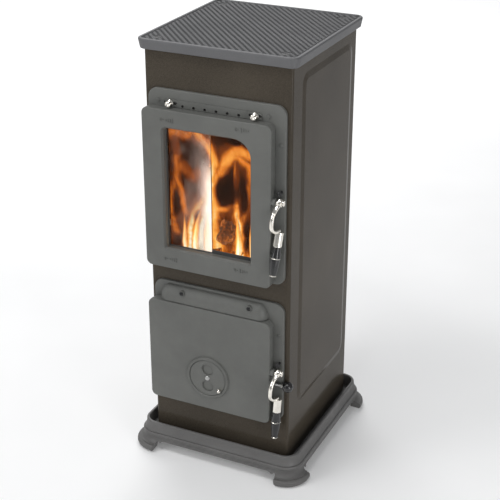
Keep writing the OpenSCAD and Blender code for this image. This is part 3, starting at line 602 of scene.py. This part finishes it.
def lever(name, node, pin_node, body):
    """Bowed polished bar from the pin's eye down to the sleeve."""
    pin_low, pin_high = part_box(pin_node)
    pin_y = (pin_low.y + pin_high.y) / 2
    pin_z = (pin_low.z + pin_high.z) / 2
    pin = Vector((PIN_X, pin_y, pin_z))
    matrix = lever_frame(pin)
    path = bezier((2, -2, 0), (14, -9, 0), (23, -17, 0), (24.5, -32, 0), 14)
    path += bezier((25, -38, 0), (26, -50, 0), (16, -55.0, 0), (2.0, -54.0, 0), 16)
    path = [Vector((p.x * MM, p.y * MM)) for p in path]

    def halves(t):
        return (4.6 - 0.9 * math.sin(math.pi * t)) * MM, (3.2 + 0.5 * math.cos(math.tau * t)) * MM

    bm = bmesh.new()
    sweep_bar(bm, path, halves, matrix)
    eye = [(3.4, -5.5), (6.6, -5.5), (7.4, -4.7), (7.5, 0), (7.4, 4.7), (6.6, 5.5), (3.4, 5.5)]
    turned = Matrix.Translation(pin) @ Matrix.Rotation(math.pi / 2, 4, "Y")
    lathe(bm, [(r * MM, h * MM) for r, h in eye], turned)
    nose = [(0.2, 0), (3.9, 0), (3.9, 6.4), (3.2, 8.0), (1.6, 9.0), (0.2, 9.15)]
    lathe(bm, [(r * MM, h * MM) for r, h in nose], Matrix.Translation(pin), 24)
    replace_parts(piece(name, bm, body, "nickel", smooth_deg=50), node)


# ---------- rope seals ----------


def ring_path(low, high, radius, count):
    """Evenly spaced points and outward directions around a rounded rectangle in X and Z."""
    straight_x = high.x - low.x - 2 * radius
    straight_z = high.z - low.z - 2 * radius
    arc = math.pi * radius / 2
    total = 2 * (straight_x + straight_z) + 4 * arc
    corners = (
        (high.x - radius, low.z + radius, -math.pi / 2),
        (high.x - radius, high.z - radius, 0.0),
        (low.x + radius, high.z - radius, math.pi / 2),
        (low.x + radius, low.z + radius, math.pi),
    )
    lengths = (straight_z, straight_x, straight_z, straight_x)
    points = []
    for i in range(count):
        s = total * i / count
        for (cx, cz, start), straight in zip(corners, lengths):
            if s < arc:
                a = start + s / radius
                out = Vector((math.cos(a), math.sin(a)))
                points.append((Vector((cx, cz)) + out * radius, out))
                break
            s -= arc
            a = start + math.pi / 2
            out = Vector((math.cos(a), math.sin(a)))
            if s < straight:
                along = Vector((-out.y, out.x))
                points.append((Vector((cx, cz)) + out * radius + along * s, out))
                break
            s -= straight
    return points, total


def rope(name, node, body):
    """Three-strand glass fibre rope lying in the door."""
    low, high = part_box(node)
    thick = (high.y - low.y) / 2
    y = (low.y + high.y) / 2
    low = Vector((low.x + thick, y, low.z + thick))
    high = Vector((high.x - thick, y, high.z - thick))
    points, total = ring_path(low, high, 8 * MM, 420)
    turns = round(total / (15 * MM))
    offset = thick * 0.485
    strand = thick * 0.51
    bm = bmesh.new()
    for k in range(3):
        rings = []
        for i, (point, out) in enumerate(points):
            twist = math.tau * (turns * i / len(points) + k / 3)
            centre = Vector((point.x, y, point.y))
            outward = Vector((out.x, 0, out.y))
            forward = Vector((0, 1, 0))
            middle = centre + outward * (offset * math.cos(twist)) + forward * (offset * math.sin(twist))
            ring = []
            for j in range(8):
                a = math.tau * j / 8
                ring.append(middle + outward * (strand * math.cos(a)) + forward * (strand * math.sin(a)))
            rings.append(ring)
        loft(bm, rings, closed_path=True)
    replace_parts(piece(name, bm, body, "rope", smooth_deg=80), node)


# ---------- door details ----------


def raised_bar(bm, x, z, half_x, half_z, face_y, rise, turn=0.0):
    """Small cast bar that stands out of a door's face, with sloping sides."""
    spin = Matrix.Rotation(turn, 2)
    corners = []
    for y, shrink in ((face_y + 0.2 * MM, 0.0), (face_y - rise, 0.35 * MM)):
        for sx, sz in ((-1, -1), (1, -1), (1, 1), (-1, 1)):
            flat = spin @ Vector((sx * (half_x - shrink), sz * (half_z - shrink)))
            corners.append(Vector((x + flat.x, y, z + flat.y)))
    block(bm, corners)


def draught_mark(bm, x, z, face_y, grows):
    """Arrow and four bars that grow or shrink, instead of words."""
    rise = 1.3 * MM
    raised_bar(bm, x - 11 * MM, z, 4 * MM, 0.8 * MM, face_y, rise)
    for side in (-1, 1):
        raised_bar(bm, x - 13.6 * MM, z + side * 1.4 * MM, 2.3 * MM, 0.75 * MM, face_y, rise,
                   side * math.radians(38))
    for i in range(4):
        tall = (2.0 + 0.8 * (i if grows else 3 - i)) * MM
        raised_bar(bm, x + (i * 4.6 - 2) * MM, z, 0.9 * MM, tall, face_y, rise)


def door_marks():
    """One draught mark near each corner of the window."""
    low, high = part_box("upper_door")
    bm = bmesh.new()
    for x, z, grows in ((-91, 736, True), (63, 740, False), (-91, 452, True), (60, 458, False)):
        draught_mark(bm, x * MM, z * MM, low.y, grows)
    piece("draught_marks", bm, "upper_door", "door_iron", smooth_deg=20)


# ---------- window ----------


def pane_outline(x0, x1, z0, z1, radii, steps=10):
    """Outline of a pane with its own radius at each corner, from the lower left."""
    corners = (
        (x0 + radii[0], z0 + radii[0], math.pi, radii[0]),
        (x1 - radii[1], z0 + radii[1], 1.5 * math.pi, radii[1]),
        (x1 - radii[2], z1 - radii[2], 0.0, radii[2]),
        (x0 + radii[3], z1 - radii[3], 0.5 * math.pi, radii[3]),
    )
    points = []
    for cx, cz, start, radius in corners:
        for i in range(steps + 1):
            a = start + 0.5 * math.pi * i / steps
            points.append((cx + radius * math.cos(a), cz + radius * math.sin(a)))
    return points


def slab(bm, outline, y0, y1):
    """Flat closed plate between two depths, from an outline in X and Z."""
    loft(bm, [[Vector((x, y, z)) for x, z in outline] for y in (y0, y1)])


def window():
    """Two panes side by side, with a film of smoke, painted reflection and painted glow on the left one and
    its edge strip.
    """
    low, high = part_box("door_glass")
    joint = -10.5 * MM
    split = 0.25 * MM
    round_r = 34 * MM
    small = 2 * MM
    edge_r = 0.6 * MM
    left_r = 12 * MM
    left = pane_outline(low.x, joint - split, low.z, high.z, (small, edge_r, edge_r, left_r))
    right = pane_outline(joint + split, high.x, low.z, high.z, (edge_r, small, round_r, edge_r))
    for name, outline in (("left_pane", left), ("right_pane", right)):
        bm = bmesh.new()
        slab(bm, outline, low.y, high.y)
        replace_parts(piece(name, bm, "upper_door", "glass", smooth_deg=30), "door_glass")
    # Smoke film with a painted reflection and a painted glow, just inside the left pane.
    bm = bmesh.new()
    film = pane_outline(low.x + MM, joint - 0.4 * MM, low.z + MM, high.z - MM, (MM, MM, MM, left_r))
    slab(bm, film, high.y + 0.1 * MM, high.y + 0.3 * MM)
    piece("smoke_film_painted_glow", bm, "upper_door", "glass", "smoke_film_painted_glow", smooth_deg=30)
    bm = bmesh.new()
    strip_right = 77.2 * MM
    strip_low, strip_high = 475.2 * MM, 482 * MM
    strip = pane_outline(joint + MM, strip_right, strip_low, strip_high, (MM, MM, MM, MM), 4)
    slab(bm, strip, low.y - 1.6 * MM, low.y - 0.1 * MM)
    piece("pane_strip", bm, "upper_door", "gasket", smooth_deg=30)


# ---------- the fire ----------


def flame(bm, uv_layer, points, width, y, steps=30):
    """One closed tongue of flame that follows four control points in X and Z."""
    path = bezier(*[Vector((p[0] * MM, p[1] * MM, 0)) for p in points], steps)
    around = 12
    rows = []
    for i, point in enumerate(path):
        t = i / steps
        d = (path[min(i + 1, steps)] - path[max(i - 1, 0)]).normalized()
        side = Vector((-d.y, d.x))
        half = 0.5 * width * MM * (0.25 + 0.75 * math.sin(math.pi * min(1.0, t * 0.9 + 0.15)))
        half *= 1 - 0.8 * t ** 1.5
        row = []
        for j in range(around):
            a = math.tau * j / around
            swing = half * math.cos(a)
            belly = 0.35 * half * math.sin(a)
            place = (point.x + side.x * swing, y * MM + belly, point.y + side.y * swing)
            row.append((bm.verts.new(place), 0.5 + 0.5 * math.cos(a), t))
        rows.append(row)
    for i in range(steps):
        for j in range(around):
            k = (j + 1) % around
            corners = (rows[i][j], rows[i][k], rows[i + 1][k], rows[i + 1][j])
            face = bm.faces.new([c[0] for c in corners])
            for loop, corner in zip(face.loops, corners):
                loop[uv_layer].uv = (corner[1], corner[2])
    for row in (rows[0], rows[-1]):
        face = bm.faces.new([c[0] for c in row])
        for loop, corner in zip(face.loops, row):
            loop[uv_layer].uv = (corner[1], corner[2])


# Tongues in front of the curtain: control points (x, z), width and depth.
FLAMES = (
    (((30, 452), (40, 500), (26, 520), (30, 572)), 26, -134),
    (((-58, 446), (-66, 500), (-52, 540), (-30, 580)), 26, -136),
    (((-34, 446), (-44, 500), (-26, 540), (-28, 600)), 28, -132),
    (((-84, 446), (-92, 480), (-80, 510), (-92, 548)), 18, -130),
    (((56, 446), (62, 480), (50, 510), (58, 545)), 14, -130),
)


def flames():
    """All the tongues of flame, as one piece."""
    bm = bmesh.new()
    uv_layer = bm.loops.layers.uv.new("UVMap")
    for points, width, y in FLAMES:
        flame(bm, uv_layer, points, width, y)
    piece("flames", bm, "stove", "flame", smooth_deg=180)


# Streams of burning gas: control points (x, z), widths and heats at the start and end.
STREAMS = (
    (((-7, 560), (-6, 640), (16, 694), (74, 690)), 20, 18, 0.72, 0.64),
    (((10, 664), (36, 680), (62, 668), (78, 640)), 13, 12, 0.70, 0.56),
    (((-4, 470), (-8, 540), (-8, 580), (-2, 640)), 17, 13, 0.86, 0.70),
    (((-8, 566), (6, 562), (22, 560), (33, 596)), 12, 8, 0.72, 0.60),
    (((44, 470), (52, 520), (38, 560), (35, 600)), 11, 6, 1.12, 0.74),
    (((35, 596), (33, 620), (42, 640), (36, 668)), 6, 4, 0.66, 0.50),
    (((48, 540), (56, 570), (60, 600), (78, 650)), 10, 8, 0.56, 0.46),
    (((-63, 470), (-64, 530), (-38, 570), (-20, 612)), 11, 10, 1.02, 0.80),
    (((-32, 462), (-34, 520), (-16, 560), (-13, 640)), 17, 11, 1.18, 0.96),
    (((-13, 640), (-12, 662), (-14, 680), (-16, 700)), 10, 8, 0.90, 0.56),
    (((-52, 470), (-44, 500), (-36, 500), (-24, 520)), 12, 11, 1.05, 0.98),
    (((-71, 545), (-78, 580), (-80, 600), (-95, 620)), 12, 10, 0.60, 0.50),
    (((-44, 724), (-34, 704), (-22, 690), (-12, 664)), 12, 12, 0.66, 0.74),
    (((-98, 500), (-106, 580), (-88, 620), (-92, 660)), 13, 10, 0.50, 0.44),
    (((-96, 700), (-78, 706), (-60, 700), (-50, 724)), 14, 10, 0.52, 0.44),
    (((-84, 640), (-62, 640), (-50, 616), (-36, 640)), 18, 14, 0.44, 0.44),
    (((64, 470), (70, 500), (60, 520), (74, 560)), 5, 4, 0.66, 0.44),
)

# Dark hollows between the streams: centre, half width, half height and share of heat lost.
HOLLOWS = (
    (19, 612, 21, 38, 0.92),
    (56, 604, 9, 30, 0.62),
    (-41, 545, 7, 17, 0.55),
    (46, 716, 30, 15, 0.85),
    (70, 520, 16, 34, 0.60),
    (-92, 560, 8, 30, 0.50),
    (-62, 668, 16, 15, 0.45),
    (12, 520, 20, 24, 0.45),
)


CURTAIN_Y = -122 * MM
CURTAIN_THICK = 3 * MM
# Streams and hollows are placed as they show in the window. Seen from the front right and from
# above, the curtain behind it shows lower and further left, so its pattern is read this far over, in mm.
PATTERN_X = 17
PATTERN_Z = 19
STREAM_STEPS = 18


def fire_heat(x, z):
    """Heat of the burning gas at a point of the curtain, in mm, from 0 (dark) up to about 1."""
    at = Vector((x, 0, z))
    broad = noise.noise_vector(at * 0.022 + Vector((3, 7, 1)))
    fine = noise.noise_vector(at * 0.075 + Vector((9, 2, 5)))
    x += 9 * broad.x + 3.2 * fine.x
    z += 12 * broad.z + 4.5 * fine.z
    heat = 0.24 + 0.22 * noise.noise(Vector((x * 0.05, 4.0, z * 0.018)))
    for samples in STREAM_SAMPLES:
        for px, pz, width, warmth in samples:
            away = ((x - px) ** 2 + (z - pz) ** 2) / (width * width)
            if away < 9:
                heat = max(heat, warmth * math.exp(-0.62 * away), 0.62 * warmth * math.exp(-0.16 * away))
    for cx, cz, half_x, half_z, depth in HOLLOWS:
        away = ((x - cx) / half_x) ** 2 + ((z - cz) / half_z) ** 2
        if away < 4:
            heat *= 1 - depth * math.exp(-(away ** 2.2))
    return heat


def stream_samples():
    """Points along each stream, with the width and heat there."""
    made = []
    for points, width0, width1, warm0, warm1 in STREAMS:
        path = bezier(*[Vector((p[0], p[1], 0)) for p in points], STREAM_STEPS)
        samples = []
        for i, point in enumerate(path):
            t = i / STREAM_STEPS
            width = width0 + (width1 - width0) * t
            samples.append((point.x, point.y, width, warm0 + (warm1 - warm0) * t))
        made.append(samples)
    return made


STREAM_SAMPLES = stream_samples()


def fire_curtain():
    """Wavy sheet of burning gas just behind the window, closed and 3 mm thick."""
    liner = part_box("left_liner")[1]
    half_x = -liner.x - 2 * MM
    low_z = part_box("grate_frame")[1].z + 20 * MM
    high_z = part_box("left_liner")[1].z - 3 * MM
    columns, rows = 116, 140
    bm = bmesh.new()
    uv_layer = bm.loops.layers.uv.new("UVMap")
    warmth = {}
    front, rear = [], []
    for i in range(rows + 1):
        z = low_z + (high_z - low_z) * i / rows
        front.append([])
        rear.append([])
        for j in range(columns + 1):
            x = half_x * (2 * j / columns - 1)
            y = CURTAIN_Y + 5 * MM * noise.noise(Vector((x * 14, 1.7, z * 7)))
            heat = fire_heat(x / MM + PATTERN_X, z / MM + PATTERN_Z)
            for sheet, back in ((front, 0.0), (rear, CURTAIN_THICK)):
                vert = bm.verts.new((x, y + back, z))
                warmth[vert] = heat
                sheet[i].append(vert)
    for grid in (front, rear):
        for i in range(rows):
            for j in range(columns):
                bm.faces.new((grid[i][j], grid[i][j + 1], grid[i + 1][j + 1], grid[i + 1][j]))
    border = [(0, j) for j in range(columns)] + [(i, columns) for i in range(rows)]
    border += [(rows, j) for j in range(columns, 0, -1)] + [(i, 0) for i in range(rows, 0, -1)]
    for a, b in zip(border, border[1:] + border[:1]):
        bm.faces.new((front[a[0]][a[1]], front[b[0]][b[1]], rear[b[0]][b[1]], rear[a[0]][a[1]]))
    for face in bm.faces:
        for loop in face.loops:
            loop[uv_layer].uv = (warmth[loop.vert], loop.vert.co.z)
    piece("fire_curtain", bm, "stove", "flame", "fire_haze", smooth_deg=180)


def log(name, start, end, radius, seed):
    """Split log with bark ridges and rough ends."""
    start, end = Vector(start) * MM, Vector(end) * MM
    axis = (end - start).normalized()
    side = axis.orthogonal().normalized()
    up = axis.cross(side)
    rings, around = 40, 48
    bm = bmesh.new()
    uv_layer = bm.loops.layers.uv.new("UVMap")
    made = []
    for i in range(rings + 1):
        t = i / rings
        centre = start.lerp(end, t)
        centre += side * (2.5 * MM * noise.noise(Vector((t * 3, seed, 0))))
        row = []
        for j in range(around):
            a = math.tau * j / around
            flat = 1.0 if math.cos(a - seed) < 0.55 else 0.55 / math.cos(a - seed)
            ridges = noise.fractal(Vector((math.cos(a) * 3, math.sin(a) * 3, t * 2.2 + seed)), 0.7, 2.1, 4)
            r = radius * MM * flat * (1 + 0.13 * ridges)
            row.append(bm.verts.new(centre + (side * math.cos(a) + up * math.sin(a)) * r))
        made.append(row)
    for i in range(rings):
        for j in range(around):
            k = (j + 1) % around
            face = bm.faces.new((made[i][j], made[i][k], made[i + 1][k], made[i + 1][j]))
            for loop, (along, turn) in zip(face.loops, ((0, 0), (0, 1), (1, 1), (1, 0))):
                loop[uv_layer].uv = ((i + along) / rings, (j + turn) / around)
    for row, outward in ((made[0], -axis), (made[-1], axis)):
        log_end(bm, uv_layer, row, outward, radius, seed)
    piece(name, bm, "stove", "log_wood", smooth_deg=50)


def log_end(bm, uv_layer, border, outward, radius, seed):
    """Rough sawn end: rings of points that shrink to the middle."""
    middle = sum((v.co for v in border), Vector()) / len(border)
    outer = border
    for share in (0.8, 0.55, 0.3, 0.1):
        inner = []
        for v in border:
            point = middle.lerp(v.co, share)
            rough = noise.noise(point * 220 + Vector((seed, 0, 0)))
            inner.append(bm.verts.new(point + outward * (rough * 0.05 * radius * MM)))
        for j in range(len(border)):
            k = (j + 1) % len(border)
            face = bm.faces.new((outer[j], outer[k], inner[k], inner[j]))
            for loop in face.loops:
                loop[uv_layer].uv = (loop.vert.co.x * 30, loop.vert.co.z * 30)
        outer = inner
    bm.faces.new(outer)


def embers():
    """Bed of glowing coals on the grate."""
    grate_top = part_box("shaker_grate")[1].z
    bm = bmesh.new()
    for i in range(110):
        size = RANDOM.uniform(7, 13) * MM
        x = RANDOM.uniform(-104, 104) * MM
        y = RANDOM.uniform(-128, 112) * MM
        lift = RANDOM.uniform(0.55, 1.6) * size
        turn = Matrix.Rotation(RANDOM.uniform(0, math.tau), 4, "Z")
        shape = Matrix.Diagonal((1.0, RANDOM.uniform(0.7, 1.1), RANDOM.uniform(0.55, 0.8), 1.0))
        place = Matrix.Translation((x, y, grate_top + lift)) @ turn @ shape
        ball = bmesh.ops.create_icosphere(bm, subdivisions=2, radius=size)
        for v in ball["verts"]:
            lump = noise.noise(v.co * (1.5 / size) + Vector((i, 0, 0)))
            v.co = place @ (v.co * (1 + 0.35 * lump))
        lowest = min(v.co.z for v in ball["verts"])
        clear = max(0.0, grate_top + 0.2 * MM - lowest)
        for v in ball["verts"]:
            v.co.z += clear
    piece("embers", bm, "stove", "ember", smooth_deg=35)


def fire():
    """Coals, four logs, the curtain and the flames."""
    embers()
    log("log_left", (-104, -84, 446), (-8, -118, 456), 23, 1.3)
    log("log_end", (6, -138, 512), (-34, -30, 448), 23, 4.1)
    log("log_right", (14, -112, 446), (104, -96, 462), 22, 8.6)
    log("log_back", (-80, 10, 440), (80, 20, 448), 26, 5.2)
    fire_curtain()
    flames()


# ---------- camera, floor and light ----------


def camera():
    """Looks down at the stove's front right corner."""
    data = bpy.data.cameras.new("camera")
    data.lens = 88.5
    data.sensor_width = 36
    data.clip_start = 0.05
    data.clip_end = 60
    made = bpy.data.objects.new("camera", data)
    made.location = (0.9711, -2.0589, 1.4828)
    made.rotation_euler = (math.radians(90 - 25.16), 0, math.radians(25.42))
    bpy.context.scene.collection.objects.link(made)
    bpy.context.scene.camera = made


def floor():
    """Plain pale floor that shines a little itself, which keeps shadows light."""
    s = Shader("floor", (0.86, 0.86, 0.86), 0.8, Specular_IOR_Level=0.2)
    s.set("Base Color", s.ramp(s.noise(3, 2.0), (0.3, (0.85, 0.85, 0.85)), (0.7, (0.88, 0.88, 0.88))))
    s.set("Emission Color", (1.0, 1.0, 1.0, 1.0))
    s.set("Emission Strength", 0.12)
    bm = bmesh.new()
    bmesh.ops.create_grid(bm, x_segments=2, y_segments=2, size=14)
    mesh = bpy.data.meshes.new("floor")
    bm.to_mesh(mesh)
    bm.free()
    mesh.materials.append(s.material)
    made = bpy.data.objects.new("floor", mesh)
    bpy.context.scene.collection.objects.link(made)


def area_light(name, place, aim, width, height, watts, spread=180):
    """Soft light turned to its aim and hidden from the camera. The spread is in degrees."""
    data = bpy.data.lights.new(name, "AREA")
    data.shape = "RECTANGLE"
    data.size = width
    data.size_y = height
    data.energy = watts
    data.spread = math.radians(spread)
    made = bpy.data.objects.new(name, data)
    made.location = place
    made.rotation_euler = (Vector(aim) - Vector(place)).to_track_quat("-Z", "Y").to_euler()
    made.visible_camera = False
    bpy.context.scene.collection.objects.link(made)


def lights():
    """Even surroundings, a broad light over the floor behind, and softer ones in front."""
    world = bpy.data.worlds.new("world")
    world.use_nodes = True
    background = world.node_tree.nodes["Background"]
    background.inputs["Color"].default_value = (0.95, 0.97, 1.0, 1.0)
    background.inputs["Strength"].default_value = 0.28
    bpy.context.scene.world = world
    area_light("overhead", (-1.7, 2.9, 3.4), (-1.6, 2.7, 0), 3.0, 3.0, 120, 170)
    area_light("front", (-1.9, -2.2, 1.7), (0, 0, 0.5), 1.2, 1.4, 21)
    area_light("strip", (1.7, -1.15, 0.62), (0.15, -0.15, 0.5), 0.6, 1.1, 10)
    area_light("edge", (-0.4, -0.9, 2.7), (0, -0.2, 0.6), 1.8, 0.35, 22)
    bpy.context.scene.view_settings.view_transform = "Standard"


camera()
floor()
lights()
top_tread()
lever("upper_lever_bar", "upper_lever", "upper_latch_pin", "upper_handle")
lever("lower_lever_bar", "lower_lever", "lower_latch_pin", "lower_handle")
rope("upper_rope", "upper_seal", "upper_door")
rope("lower_rope", "lower_seal", "lower_door")
door_marks()
window()
fire()
